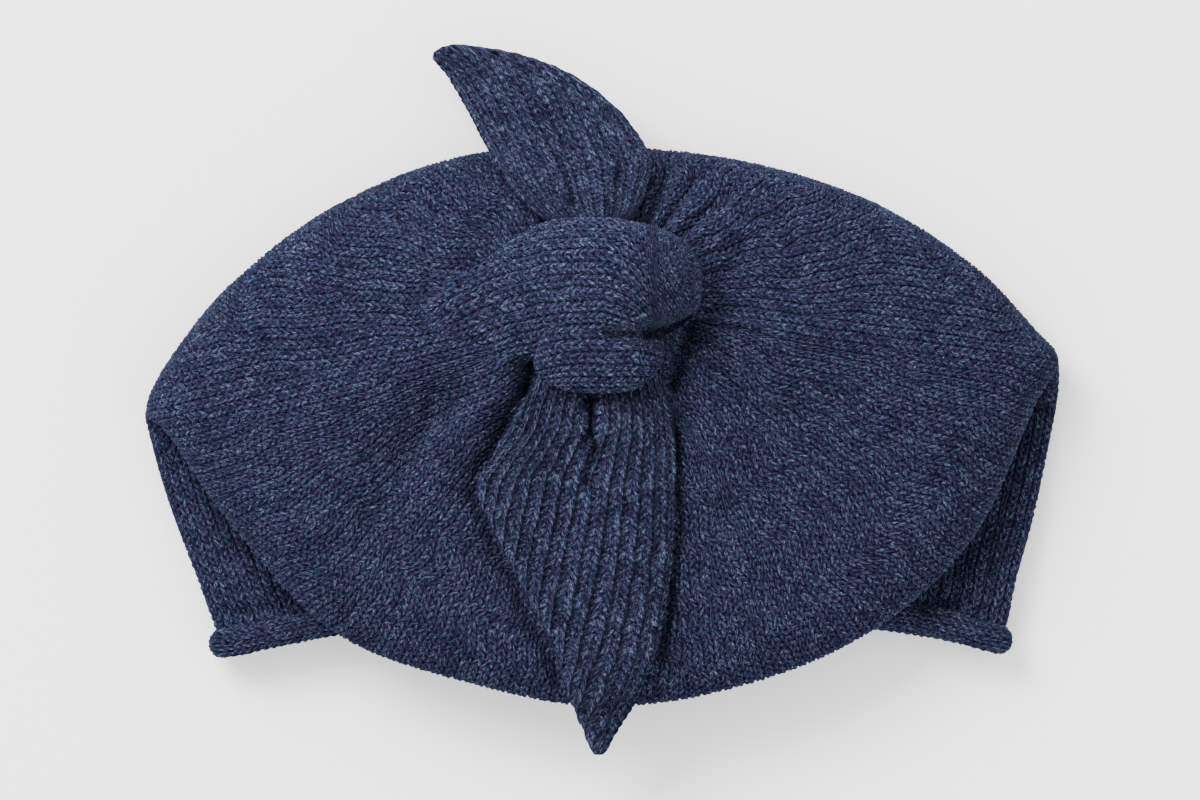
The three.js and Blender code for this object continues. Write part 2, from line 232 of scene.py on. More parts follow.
def bakeLayout(points, faces, side):  # flat layout: one island for each side of the cloth
    low = points.min(axis=0)
    wide, deep = np.ptp(points, axis=0)[:2]
    corners = points[faces] - low
    x, y = corners[..., 0], corners[..., 1]
    y = np.where(side[:, None], 2 * deep + bakeGap - y, y)
    return bakeMargin + (1 - 2 * bakeMargin) * np.stack([x, y], axis=-1) / max(wide, 2 * deep + bakeGap)


def unwind(corners, axis, whole):  # lets the faces that close a ring run on past its last column
    values = corners[..., axis]
    jump = np.ptp(values, axis=1) > whole / 2
    values[jump] = np.where(values[jump] < whole / 2, values[jump] + whole, values[jump])


# the hat's outer skin

leftEnd, rightEnd = -114.4, 114.8
knotX, knotY = 4.6, 25  # the middle of the knot, where the columns of stitches meet
backCorner = 0.36  # the back lies flat from this sine of the way round
bandTop, bandFade = 19.4, 2  # the front band lies below this height and the cloth over it above

crownOutline = [  # the fold that bounds the crown, from left to right: upper edge, lip
    (-3, -3),
    (10.2, -8.8),
    (30, -32.1),
    (48.9, -58.4),
    (61.4, -70.6),
    (63.8, -77),
    (60.2, -71.7),
    (50.2, -58.3),
    (34.5, -35.2),
    (17.8, -0.7),
    (10, 10),
]

# rings of the wall, hem to fold: leftX, leftY, rightX, rightY, endZ, backY, backZ, frontY, frontZ
rollRing = (-95.4, -61.5, 100, -60.5, 8.4, -51, 3.5, -51, 16.2)
wallRings = [
    (-97.6, -57, 102.2, -56.6, 8.4, -46.4, 2.3, -46.4, 17.4),
    (-101.5, -46, 104.4, -45.6, 7.8, -34, 0.6, -36, 17.2),
    (-106, -34.5, 107.8, -33.6, 7.2, -20, 0, -24, 17),
    (-109.8, -24, 110.6, -22, 6.6, -5, 0, -12, 16.6),
    (-112.8, -14, 113, -10.6, 6.2, 12, 0, -1, 16.4),
    (-114.4, -7.4, 114.8, -1, 6.4, 26, 0, 6, 16.8),
    (-114.9, -5.4, 115.2, 3, 7, 36, 0, 8.6, 19),
    (-115, -4.6, 115.3, 5.4, 7.7, 43, 0, 5.6, 21.4),
    (-115, -4.1, 115.3, 6.8, 8.2, 48.5, 0.1, -8, 22),
    (-115, -3.8, 115.2, 7.8, 8.8, 53, 0.5, -28, 22),
    (-114.9, -3.5, 115.1, 8.6, 9.5, 57, 1.6, -48, 21.8),
    (-114.8, -3.3, 115, 9.2, 10.3, 60.4, 3.6, -63, 21),
    (-114.6, -3.1, 114.9, 9.6, 11.4, 62.8, 6.4, -72.5, 21),
    (-114.4, -3, 114.8, 10, 13.2, 63.8, 10, -77, 24.2),
]

# rings of the upper face, fold to knot: share of the way out from the knot, sideZ, backZ, frontZ
discRings = [
    (0.993, 16.2, 13.4, 27.6),
    (0.965, 20.8, 16.2, 29.6),
    (0.92, 24, 18.8, 31.3),
    (0.85, 26.2, 21.4, 32.4),
    (0.76, 27.9, 24, 33),
    (0.66, 29.3, 26.6, 33.4),
    (0.55, 30.6, 29, 33.7),
    (0.44, 31.7, 31, 33.9),
    (0.33, 33, 32.6, 34),
    (0.22, 33.8, 33.6, 34),
    (0.11, 34, 34, 34),
    (0, 34, 34, 34),
]

creases = [  # fromX, fromY, toX, toY, width, depth
    (34, 37, 25, 19, 4.2, 3.6),
    (25, 19, 19, -4, 3.8, 3),
    (-16.5, 14, -18.4, 2, 2.6, 6),
    (-18.4, 2, -31, -19, 2.2, 2.2),
    (-40, -2, -51, -19, 5, 3.4),
    (-51, -19, -58, -37, 6.4, 2.8),
    (39, 0, 62, -15, 7, 2),
    (10.8, 44, 18, 60, 1.9, 2.6),
    (14.6, 42, 27, 58, 1.9, 1.9),
    (18.4, 39.8, 33, 52, 2, 1.6),
    (-11, 44.5, -29, 59, 2.4, 1.8),
    (-22, 42, -44, 48, 3, 1.1),
    (-32, -23, -10, -70, 2.2, 3.4),  # these three run along the edges of the lower tail
    (17, 6, 19.2, -30, 1.7, 2.2),
    (19.2, -30, 14.6, -64, 1.7, 2.4),
    (22, 19, 17.8, 4, 2.6, 8),  # the gap beside the knot
]

bandDents = [  # where the front band sinks beside the lip; the depth is a share of its height here
    (-105, -15, -76, -53, 5, 0.68),
    (108, 0, 97.5, -30, 5, 0.68),
    (97.5, -30, 80, -54, 5, 0.68),
]

ridges = [
    (-21, 12, -32, -5, 4.6, 2.4),
    (-32, -5, -46, -26, 5.6, 2),
    (-58, 4, -74, -34, 11, 1.4),
    (44, 8, 78, -2, 10, 1.1),
    (30, -8, 52, -30, 8, 1.2),
    (-36, 44, -56, 40, 8, 0.9),
    (46, 36, 72, 38, 9, 0.9),
]

gather = {  # the small folds where the cloth is drawn in to the knot
    "folds": 37,
    "height": 0.5,
    "inner": 24,  # full height up to this far from the knot's middle, none at the outer distance
    "outer": 50,
    "twists": ((3, 1.0, 2.0), (7, 2.5, 1.2)),  # how many times round, phase and size of their unevenness
}

skin = {
    "angles": 1440,
    "step": 0.5,  # spacing of the points along a column of stitches
    "rowsPerRing": 8,
    "smoothing": 14,  # rounds of easing the bends of a column
    "dents": 0.45,  # depth of the soft unevenness of the upper face
    "dentSizes": (14, 46),
    "dentWaves": 14,
    "dentSeed": 11,
    "hemDip": 1.5,  # the band is drawn in just above the roll
    "hemDipAt": 6.6,
    "hemDipWidth": 2.2,
    "hemDipFade": 0.3,  # it isn't at the hat's two sides, where the sine of the way round is below this
}

lastRow = len(crownOutline) - 1
outlineLoop = [row[0] for row in crownOutline[:0:-1]] + [row[1] for row in crownOutline[:lastRow]]


def foldY(angle):
    return loopCurve(outlineLoop, np.asarray(angle) / math.pi * lastRow)


def bow(angle):
    middle = np.where(np.sin(angle) >= 0, 0.5, 1.5) * math.pi

    def ends(at):
        return mix(foldY(math.pi), foldY(0.0), (1 + np.cos(at)) / 2)

    return (foldY(angle) - ends(angle)) / (foldY(middle) - ends(middle))


def wallPoints(rows, angle):  # one row of points for each angle
    leftX, leftY, rightX, rightY, endZ, backY, backZ, frontY, frontZ = rows.T[:, None, :]
    angle = angle[:, None]
    isBack = np.sin(angle) >= 0
    across = (1 + np.cos(angle)) / 2
    middleY = np.where(isBack, backY, frontY)
    middleZ = np.where(isBack, backZ, frontZ)
    backRise = np.sin(math.pi / 2 * np.minimum(1, np.sin(angle) / backCorner))
    rise = np.where(isBack, backRise, np.abs(np.sin(angle)))
    x = mix(leftX, rightX, across)
    y = mix(leftY, rightY, across) + (middleY - (leftY + rightY) / 2) * bow(angle)
    isBand = smooth((bandTop - frontZ) / bandFade) * ~isBack
    rise = rise * (1 - pressed(x, y, bandDents) * isBand)
    return np.stack([x, y, mix(endZ, middleZ, rise)], axis=-1)


def discPoints(rows, angle):  # the same for the upper face, which has its dents away from the fold
    reach, sideZ, backZ, frontZ = rows.T[:, None, :]
    angle = angle[:, None]
    x = mix(knotX, mix(leftEnd, rightEnd, (1 + np.cos(angle)) / 2), reach)
    y = mix(knotY, foldY(angle), reach)
    z = mix(backZ, frontZ, (1 - np.sin(angle)) / 2)
    z = z + (sideZ - (backZ + frontZ) / 2) * np.cos(angle) ** 2
    dents = skin["dents"] * waves(x, y, skin["dentSizes"], skin["dentWaves"], skin["dentSeed"])
    z = z - pressed(x, y, creases) + pressed(x, y, ridges) + gathered(x, y)
    return np.stack([x, y, z + dents * (1 - reach**6)], axis=-1)


def gathered(x, y):
    distance = np.hypot(x - knotX, y - knotY)
    heading = np.arctan2(y - knotY, x - knotX)
    turn = heading * gather["folds"]
    for times, phase, size in gather["twists"]:
        turn = turn + size * np.sin(times * heading + phase)
    fade = smooth((gather["outer"] - distance) / (gather["outer"] - gather["inner"]))
    return gather["height"] * fade * np.sin(turn)


def skinFacing(points):
    around = np.roll(points, -1, axis=0) - np.roll(points, 1, axis=0)
    return unit(np.cross(np.gradient(points, axis=1), around))


def makeSkin():
    angles = np.arange(skin["angles"]) * turnOnce / skin["angles"]
    fine = 1 / skin["rowsPerRing"]
    disc = discPoints(openCurve(discRings, np.arange(len(discRings) - 1, -fine / 2, -fine)), angles)
    rings = (rollRing, *wallRings)  # the cloth goes on into the roll
    wall = wallPoints(openCurve(rings, np.arange(len(rings) - 1, -fine / 2, -fine)), angles)
    path = np.concatenate([disc, wall], axis=1)
    lengths = np.linalg.norm(np.diff(path, axis=1), axis=2)
    reached = np.concatenate([np.zeros((len(angles), 1)), np.cumsum(lengths, axis=1)], axis=1)
    places = np.arange(0, reached[:, -1].max() + skin["step"], skin["step"])
    points = np.empty((len(angles), len(places), 3))
    for i in range(len(angles)):
        for axis in range(3):
            points[i, :, axis] = np.interp(places, reached[i], path[i, :, axis])
    for _ in range(skin["smoothing"]):
        points[:, 1:-1] = (points[:, :-2] + 2 * points[:, 1:-1] + points[:, 2:]) / 4
    fromEnd = reached[:, -1:] - places - skin["hemDipAt"]
    dip = skin["hemDip"] * np.exp(-((fromEnd / skin["hemDipWidth"]) ** 2))
    dip = dip * smooth(np.abs(np.sin(angles)) / skin["hemDipFade"])[:, None]
    points -= skinFacing(points) * dip[..., None]
    around = np.roll(points, -1, axis=0) - np.roll(points, 1, axis=0)
    normals = skinFacing(points)
    width = np.linalg.norm(around, axis=2) * skin["angles"] / (2 * turnOnce)
    return points, normals, width, reached[:, -1], reached[:, disc.shape[1]]


skinPoints, skinNormals, skinWidths, skinEnds, skinFolds = makeSkin()
print("skin measured: columns %.0f to %.0f mm long" % (skinEnds.min(), skinEnds.max()))


def onSkin(grid, angle, place):  # value of a grid at an angle and a distance from the knot
    i = np.asarray(angle) / turnOnce * skin["angles"]
    low = np.floor(i).astype(int)
    share = i - low
    first, second = low % skin["angles"], (low + 1) % skin["angles"]
    if place is None:
        return mix(grid[first], grid[second], share)
    j = np.clip(np.asarray(place) / skin["step"], 0, grid.shape[1] - 1.001)
    inner = j.astype(int)
    part = j - inner
    if grid.ndim == 3:
        share, part = share[..., None], part[..., None]
    near = mix(grid[first, inner], grid[second, inner], share)
    far = mix(grid[first, inner + 1], grid[second, inner + 1], share)
    return mix(near, far, part)


def dropOrder(count):  # spreads evenly which columns end first towards the knot
    order = np.zeros(count)
    share = 0.5
    number = np.arange(count)
    while number.any():
        order += share * (number % 2)
        number //= 2
        share /= 2
    return order


sheetSettings = {
    "samples": 900,  # places round the hat where a row is measured
    "blur": 3,  # the room for a column is averaged over this many more on each side
    "dropSpan": 0.09,  # how gradually a column narrows where it ends
    "dropRelief": 1.3,  # how soon a column has its full relief as it widens
}


def stitchSheet(name, fromAngle, toAngle, courses, placeOf, look, firstWale):
    samples = np.linspace(fromAngle, toAngle, sheetSettings["samples"])
    widest = onSkin(skinWidths.max(axis=1), samples, None)
    across = np.concatenate([[0], np.cumsum((widest[1:] + widest[:-1]) / 2 * np.diff(samples))])
    count = int(round(across[-1] / look["waleWidth"]))
    homes = np.interp((np.arange(count) + 0.5) / count * across[-1], across, samples)
    order = dropOrder(count)
    sub = np.arange(look["subColumns"]) / look["subColumns"]
    middle = (samples[1:] + samples[:-1]) / 2
    blur = sheetSettings["blur"]
    average = np.ones(2 * blur + 1) / (2 * blur + 1)
    angles, places, shares = [], [], []
    for course in courses:
        row = onSkin(skinPoints, samples, placeOf(samples, course))
        steps = np.linalg.norm(np.diff(row, axis=0), axis=1)
        reached = np.concatenate([[0], np.cumsum(steps)])
        room = np.interp(homes, middle, steps / np.diff(samples)) / np.interp(homes, samples, widest)
        room = np.convolve(np.pad(room, blur, mode="edge"), average, mode="valid")
        share = smooth((room - order) / sheetSettings["dropSpan"] + 0.5)
        edges = np.concatenate([[0], np.cumsum(share)])
        columns = (edges[:-1, None] + share[:, None] * sub).ravel()
        columns = np.append(columns, edges[-1]) / edges[-1] * reached[-1]
        angle = np.interp(columns, reached, samples)
        angles.append(angle)
        places.append(placeOf(angle, course))
        shares.append(np.append(np.repeat(share, len(sub)), share[-1]))
    angles, places, shares = np.array(angles), np.array(places), np.array(shares)
    wale = np.append((np.arange(count)[:, None] + sub).ravel(), count - 1e-6)
    wales = np.broadcast_to(wale, angles.shape)
    courses = np.broadcast_to(np.asarray(courses)[:, None], angles.shape)
    base = onSkin(skinPoints, angles, places)
    wales, courses = strayed(base, wales, courses)
    furrows = stitchHeight(np.zeros_like(wales), courses, look)  # a column sinks where it ends
    share = np.minimum(1, sheetSettings["dropRelief"] * shares)
    height = mix(furrows, stitchHeight(wales, courses, look), share) + fuzz(base)
    points = base + onSkin(skinNormals, angles, places) * height[..., None]
    faces = gridFaces(*angles.shape)
    flat, rough = base.reshape(-1, 3), points.reshape(-1, 3)
    faces = faces[solidFaces(flat, faces)]
    past = (places - onSkin(skinFolds, angles, None)).ravel()[faces].mean(axis=1) > 0
    coordinates = np.stack([wales + firstWale, courses], axis=-1).reshape(-1, 2)
    layers = {"stitch": coordinates[faces], "OFBake": bakeLayout(flat, faces, past)}
    return newMesh(name, rough, faces, layers)


# shader maths


class Link:  # a socket of a node tree that takes part in sums
    def __init__(self, tree, socket=None):
        self.tree = tree
        self.socket = socket

    def make(self, kind, settings=None, sockets=None, out=0):
        node = self.tree.nodes.new("ShaderNode" + kind)
        for key, value in (settings or {}).items():
            if key == "stops":
                for place, _ in value[len(node.color_ramp.elements):]:
                    node.color_ramp.elements.new(place)
                for element, (place, tone) in zip(node.color_ramp.elements, value):
                    element.position = place
                    element.color = tone
            else:
                setattr(node, key, value)
        for key, value in (sockets or {}).items():
            if isinstance(value, Link):
                self.tree.links.new(value.socket, node.inputs[key])
            else:
                node.inputs[key].default_value = value
        return Link(self.tree, node.outputs[out])

    def maths(self, operation, *values):
        return self.make("Math", {"operation": operation}, dict(enumerate((self, *values))))

    def between(self, low, high):
        return self.maths("MAXIMUM", low).maths("MINIMUM", high)

    def reflected(self, operation, value):
        return self.make("Math", {"operation": operation}, {0: value, 1: self})

    def __add__(self, other):
        return self.maths("ADD", other)

    __radd__ = __add__

    def __mul__(self, other):
        return self.maths("MULTIPLY", other)

    __rmul__ = __mul__

    def __sub__(self, other):
        return self.maths("SUBTRACT", other)

    def __rsub__(self, other):
        return self.reflected("SUBTRACT", other)

    def __truediv__(self, other):
        return self.maths("DIVIDE", other)

    def __rtruediv__(self, other):
        return self.reflected("DIVIDE", other)

    def __pow__(self, other):
        return self.maths("POWER", other)

    def __gt__(self, other):
        return self.maths("GREATER_THAN", other)


def colour(red, green, blue):  # from a colour picker's 0 to 255
    def straight(value):
        value = value / 255
        return value / 12.92 if value <= 0.04045 else ((value + 0.055) / 1.055) ** 2.4

    return (straight(red), straight(green), straight(blue), 1)


wool = {
    "deep": (12, 9, 20),
    "dark": (17, 15, 31),
    "middle": (30, 30, 51),
    "light": (47, 51, 71),
    "fleck": (77, 88, 106),
    "teal": (21, 47, 62),
    "heatherPurple": (47, 37, 66),
    "steps": {"deep": 0.42, "dark": 0.49, "middle": 0.56, "light": 0.63, "fleck": 0.71},
    "fibreAcross": 0.25,  # width and length of the fibres' streaks, in millimetres
    "fibreAlong": 0.85,
    "fibreTurn": 0.4,  # angle from the column to the fibres of a leg
    "leans": (0.2, -0.16),  # turns of the two layers of fibres away from that
    "legTint": 0.08,  # how much the legs differ, and how much patches of the knit do
    "patchTint": 0.06,
    "patchSize": 14,
    "hueAcross": 0.625,  # width and length of the streaks of teal and purple
    "hueAlong": 1.19,
    "tealFrom": 0.57,  # the wool is teal where its hue noise is above this
    "purpleFrom": 0.44,  # and purple where it is below this
    "hueSteepness": 8,
    "tealMost": 0.4,
    "purpleMost": 0.5,
    "gapLight": 0.25,  # brightness in the gaps round a leg, and what its full height adds
    "legLight": 0.95,
    "furrowFrom": 0.85,  # where the shade of the furrow begins
    "furrowSteepness": 4,
    "legBump": 0.6,
    "fibreBump": 0.55,
    "bumpStrength": 0.8,
    "bumpHeight": 0.35,
    "roughness": 0.9,
    "roughnessSpread": 0.12,
    "gloss": 0.0,
    "sheen": 0.07,
    "sheenRoughness": 0.5,
    "sheenTint": (150, 170, 215),
}


def knitMaterial(name, look, gain=1.0):
    material = bpy.data.materials.new(name)
    material.use_nodes = True
    tree = material.node_tree
    shader = tree.nodes["Principled BSDF"]
    start = Link(tree)

    def noise(x, y, z, detail=2.0):  # z only keeps the patterns of legs and layers apart
        place = start.make("CombineXYZ", sockets={0: x, 1: y, 2: z})
        sockets = {"Vector": place, "Scale": 1.0, "Detail": detail}
        return start.make("TexNoise", {"noise_dimensions": "3D"}, sockets)

    # place on a leg of the stitches
    place = start.make("UVMap", {"uv_map": "stitch"})
    x = start.make("SeparateXYZ", sockets={0: place}, out=0)
    y = start.make("SeparateXYZ", sockets={0: place}, out=1)
    share = x.maths("FRACT")
    right = share > 0.5
    side = right * 2 - 1
    fromMiddle = (share * 2 - 1).maths("ABSOLUTE") / look["legReach"]
    onLeg = fromMiddle.maths("MINIMUM", 1.0)
    climb = y - onLeg * look["tilt"]
    legNumber = x.maths("FLOOR") * 2 + right
    number = start.make("CombineXYZ", sockets={0: legNumber, 1: climb.maths("FLOOR"), 2: 7.0})
    tint = start.make("TexWhiteNoise", {"noise_dimensions": "3D"}, {0: number}, out=0)

    # streaks of fibre along each leg
    wide, high = x * look["waleWidth"], y * look["courseHeight"]
    along = high * math.cos(wool["fibreTurn"]) + side * wide * math.sin(wool["fibreTurn"])
    across = wide * math.cos(wool["fibreTurn"]) - side * high * math.sin(wool["fibreTurn"])

    def fibres(lean, layer):
        lengthwise = along * math.cos(lean) + across * math.sin(lean)
        sideways = across * math.cos(lean) - along * math.sin(lean)
        return noise(sideways / wool["fibreAcross"], lengthwise / wool["fibreAlong"], tint * 40 + layer)

    streak = fibres(wool["leans"][0], 0).maths("MAXIMUM", fibres(wool["leans"][1], 60))
    patch = noise(wide / wool["patchSize"], high / wool["patchSize"], 3.0)
    middle = wool["steps"]["middle"]
    amount = streak + (tint - 0.5) * wool["legTint"] + (patch - 0.5) * wool["patchTint"]
    amount = (amount - middle) * look["contrast"] + middle
    ramp = [(step, colour(*wool[key])) for key, step in wool["steps"].items()]
    base = start.make("ValToRGB", {"stops": ramp}, {0: amount})

    # fibres of other colours
    hue = noise(across / wool["hueAcross"], along / wool["hueAlong"], tint * 90 + 5, 1.0)
    isTeal = ((hue - wool["tealFrom"]) * wool["hueSteepness"]).between(0.0, wool["tealMost"])
    isPurple = ((wool["purpleFrom"] - hue) * wool["hueSteepness"]).between(0.0, wool["purpleMost"])
    mixColour = {"data_type": "RGBA"}
    base = start.make("Mix", mixColour, {0: isTeal, 6: base, 7: colour(*wool["teal"])}, out=2)
    base = start.make("Mix", mixColour, {0: isPurple, 6: base, 7: colour(*wool["heatherPurple"])}, out=2)

    # shade in the gaps, by the legs' own shape
    phase = climb.maths("FRACT")
    onWay = onLeg - (phase - 0.5) * look["lean"]
    legShape = (1 - (onWay * 2 - 1) ** 2).maths("MAXIMUM", 0.0)
    lengthwise = (phase * math.pi).maths("SINE") ** legForm["bluntness"]
    through, edge = legForm["through"], legForm["edge"]
    height = legShape * through + lengthwise * (legShape * (1 - edge) + edge) * (1 - through)
    furrow = ((fromMiddle - wool["furrowFrom"]) * wool["furrowSteepness"]).between(0.0, 1.0)
    lit = (height * wool["legLight"] + wool["gapLight"]).maths("MINIMUM", 1.0)
    lit = lit * (1 - furrow * look["furrowShade"]) * gain
    grey = start.make("CombineColor", sockets={0: lit, 1: lit, 2: lit})
    multiply = {"data_type": "RGBA", "blend_type": "MULTIPLY"}
    base = start.make("Mix", multiply, {0: 1.0, 6: base, 7: grey}, out=2)

    relief = height * wool["legBump"] + streak * wool["fibreBump"]
    bumpHeight = wool["bumpHeight"] * millimetre
    sockets = {"Strength": wool["bumpStrength"], "Distance": bumpHeight, "Height": relief}
    bump = start.make("Bump", sockets=sockets)
    spread = wool["roughnessSpread"]
    roughness = streak * spread + wool["roughness"] - spread / 2
    tree.links.new(base.socket, shader.inputs["Base Color"])
    tree.links.new(bump.socket, shader.inputs["Normal"])
    tree.links.new(roughness.socket, shader.inputs["Roughness"])
    shader.inputs["Sheen Weight"].default_value = wool["sheen"]
    shader.inputs["Sheen Roughness"].default_value = wool["sheenRoughness"]
    shader.inputs["Sheen Tint"].default_value = colour(*wool["sheenTint"])
    shader.inputs["Specular IOR Level"].default_value = wool["gloss"]
    return material


crownWool = knitMaterial("crown_wool", stitch)
ribWool = knitMaterial("rib_wool", rib, 1.15)
softRibWool = knitMaterial("soft_rib_wool", softRib, 1.1)
wrapWool = knitMaterial("wrap_wool", wrapRib, 1.1)
print("wool made")


def dress(piece, nodes, material):
    piece.data.materials.append(material)
    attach(piece, "root")
    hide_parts(*nodes)


# crown and band

crownSettings = {
    "start": 8,  # the skin begins under the knot, this far from its middle
    "underLip": 22,  # the upper cloth goes on this far behind the fold
    "underLipFade": 0.35,  # and less near the hat's two sides, below this sine of the way round
    "lap": 1.5,  # the band goes on this far behind the upper cloth
    "samples": 400,  # places round the hat where the columns are measured
    "fineRows": 4,  # points along one stitch
    "bandRows": 3,
    "underRows": 2,
}
rowHeight = stitch["courseHeight"]


def foldSeam(angle):  # where the upper cloth gives way to the band, out of sight behind the fold
    behind = crownSettings["underLip"] * smooth(np.abs(np.sin(angle)) / crownSettings["underLipFade"])
    return np.minimum(onSkin(skinFolds, angle, None) + behind, onSkin(skinEnds, angle, None))


def fromKnot(angle, course):
    return np.minimum(crownSettings["start"] + course * rowHeight, foldSeam(angle))


def fromHem(angle, course):
    seam = foldSeam(angle) - crownSettings["lap"]
    return np.maximum(onSkin(skinEnds, angle, None) - course * rowHeight, seam)


def sheet(name, fromAngle, toAngle, isUpper, perCourse, look, firstWale):
    angles = np.linspace(fromAngle, toAngle, crownSettings["samples"])
    seam = foldSeam(angles)
    if isUpper:
        placeOf, length = fromKnot, seam.max() - crownSettings["start"]
    else:
        placeOf, length = fromHem, (onSkin(skinEnds, angles, None) - seam).max() + crownSettings["lap"]
    courses = np.arange(math.ceil(length / rowHeight) * perCourse + 1) / perCourse
    if not isUpper:
        courses = courses[::-1]  # so that these faces look outwards too
    piece = stitchSheet(name, fromAngle, toAngle, courses, placeOf, look, firstWale)
    dress(piece, ["crown"], crownWool)
    print(name, len(piece.data.polygons) * 2, "triangles")


frontMiddle = 1.5 * math.pi
# the last number gives each sheet its own stretch of the wool's pattern
sheet("crown_left", math.pi, frontMiddle, True, crownSettings["fineRows"], stitch, 0)
sheet("crown_right", frontMiddle, turnOnce, True, crownSettings["fineRows"], stitch, 200)
sheet("crown_back", 0, math.pi, True, crownSettings["fineRows"], stitch, 400)
sheet("front_band", math.pi, turnOnce, False, crownSettings["bandRows"], bandLook, 600)
sheet("back_band", 0, math.pi, False, crownSettings["underRows"], underside, 800)


# inside of the hat

insideSettings = {
    "angles": 150,
    "spacing": 3.2,  # between the points along a column
    "start": 0.02,  # share of a column's length where the inner face begins
    "wall": 2.2,  # thickness of the knit
    "columns": 36.6,  # of stitches in the wool's pattern, for each radian round the hat
}


def makeInside():
    angle = np.arange(insideSettings["angles"]) * turnOnce / insideSettings["angles"]
    ends = onSkin(skinEnds, angle, None)
    rows = np.linspace(insideSettings["start"], 1, int(ends.mean() / insideSettings["spacing"]))
    angles, places = np.broadcast_arrays(angle[None, :], rows[:, None] * ends[None, :])
    outer = onSkin(skinPoints, angles, places)
    points = outer - insideSettings["wall"] * onSkin(skinNormals, angles, places)
    faces = gridFaces(*angles.shape, closed=True)[:, ::-1]
    columns = insideSettings["columns"]
    coordinates = np.stack([angles * columns, -places / rowHeight], axis=-1).reshape(-1, 2)
    corners = coordinates[faces]
    unwind(corners, 0, turnOnce * columns)
    past = (places - onSkin(skinFolds, angles, None)).ravel()[faces].mean(axis=1) > 0
    flat = points.reshape(-1, 3)
    return newMesh("crown_inside", flat, faces, {"stitch": corners, "OFBake": bakeLayout(flat, faces, past)})


crownInside = makeInside()
dress(crownInside, ["crown"], crownWool)


# rolled hem

rollSettings = {
    "radius": 3.4,
    "endRadius": 3.7,  # at the hat's two sides
    "endFade": 0.4,  # sine of the way round where the first radius is reached
    "samples": 2001,  # places round the hat where its length is measured
    "around": 40,  # points round the roll
    "spacing": 0.55,  # between points along it
    "columns": 10,  # of stitches round it; they run along it
    "curl": 0.7,  # depth of the step where the cloth's cut edge lies on the roll
    "cutEdge": 0.72,  # place of that step round the roll; at 0.75 it faces away from the crown
    "calm": 0.16,  # its stitches flatten where it turns round at the two sides
    "calmRelief": 0.3,
    "strips": 5,  # of the flat layout
}
rollLook = dict(stitch, relief=0.8, furrow=0.3)


def makeRoll():
    dense = np.linspace(0, turnOnce, rollSettings["samples"])
    centre = wallPoints(np.array([rollRing], float), dense)[:, 0]
    reached = np.concatenate([[0], np.cumsum(np.linalg.norm(np.diff(centre, axis=0), axis=1))])
    stitches = round(reached[-1] / rowHeight)
    number = np.arange(round(reached[-1] / rollSettings["spacing"]))
    angle = np.interp(number / len(number) * reached[-1], reached, dense)
    middle = wallPoints(np.array([rollRing], float), angle)[:, 0]
    tangent = unit(np.roll(middle, -1, axis=0) - np.roll(middle, 1, axis=0))
    across = unit(np.cross([0, 1, 0], tangent))
    upHat = np.cross(tangent, across)
    turn = np.arange(rollSettings["around"]) * turnOnce / rollSettings["around"]
    outward = across[:, None] * np.cos(turn)[:, None] + upHat[:, None] * np.sin(turn)[:, None]
    wale = np.broadcast_to(turn * rollSettings["columns"] / turnOnce, outward.shape[:2])
    course = np.broadcast_to((number * stitches / len(number))[:, None], outward.shape[:2])
    spiral = rollSettings["curl"] * ((turn / turnOnce - rollSettings["cutEdge"]) % 1 - 0.5)
    fromSide = np.abs(np.sin(angle))[:, None]
    inward = smooth(fromSide / rollSettings["endFade"])
    radius = mix(rollSettings["endRadius"], rollSettings["radius"], inward)
    base = middle[:, None] + outward * radius[..., None]
    wale, course = strayed(base, wale, course)
    calm = mix(rollSettings["calmRelief"], 1, smooth(fromSide / rollSettings["calm"]))
    height = (spiral + stitchHeight(wale, course, rollLook)) * calm + fuzz(base)
    points = base + outward * height[..., None]
    rings, around = base.shape[:2]
    step = np.arange(around)
    following = (step + 1) % around
    lastRing = (rings - 1) * around
    seam = np.stack([lastRing + step, lastRing + following, following, step], axis=1)
    faces = np.concatenate([gridFaces(rings, around, closed=True), seam])
    corners = np.stack([wale, course], axis=-1).reshape(-1, 2)[faces]
    unwind(corners, 0, rollSettings["columns"])
    unwind(corners, 1, stitches)
    layers = {"stitch": corners, "OFBake": rollLayout(corners, stitches)}
    return newMesh("hem_roll", points.reshape(-1, 3), faces, layers)


def rollLayout(corners, stitches):  # the roll cut into strips of the same length, one above the other
    wale, course = corners[..., 0], corners[..., 1]
    length = stitches / rollSettings["strips"]
    rise = rollSettings["columns"] * stitch["waleWidth"] + bakeGap
    strip = np.floor(course.min(axis=1) / length).clip(0, rollSettings["strips"] - 1)[:, None]
    u = (course - strip * length + 1) / (length + 2)
    v = (wale * stitch["waleWidth"] + bakeGap / 2 + strip * rise) / (rollSettings["strips"] * rise)
    return np.stack([u, v], axis=-1)


hemRoll = makeRoll()
dress(hemRoll, ["rolled_hem"], crownWool)
print("crown, band and hem knitted")


# tails and knot

edgeShare = 0.36  # height of a piece's two edges, as a share of its thickness
foldWidth = 0.16  # of the fold along a tail's middle, as a share of half the tail's width
biasRelief = 0.3  # share of the relief left at a tail's edge where the ribs end
edgeRelief = 0.6  # and at its other edge

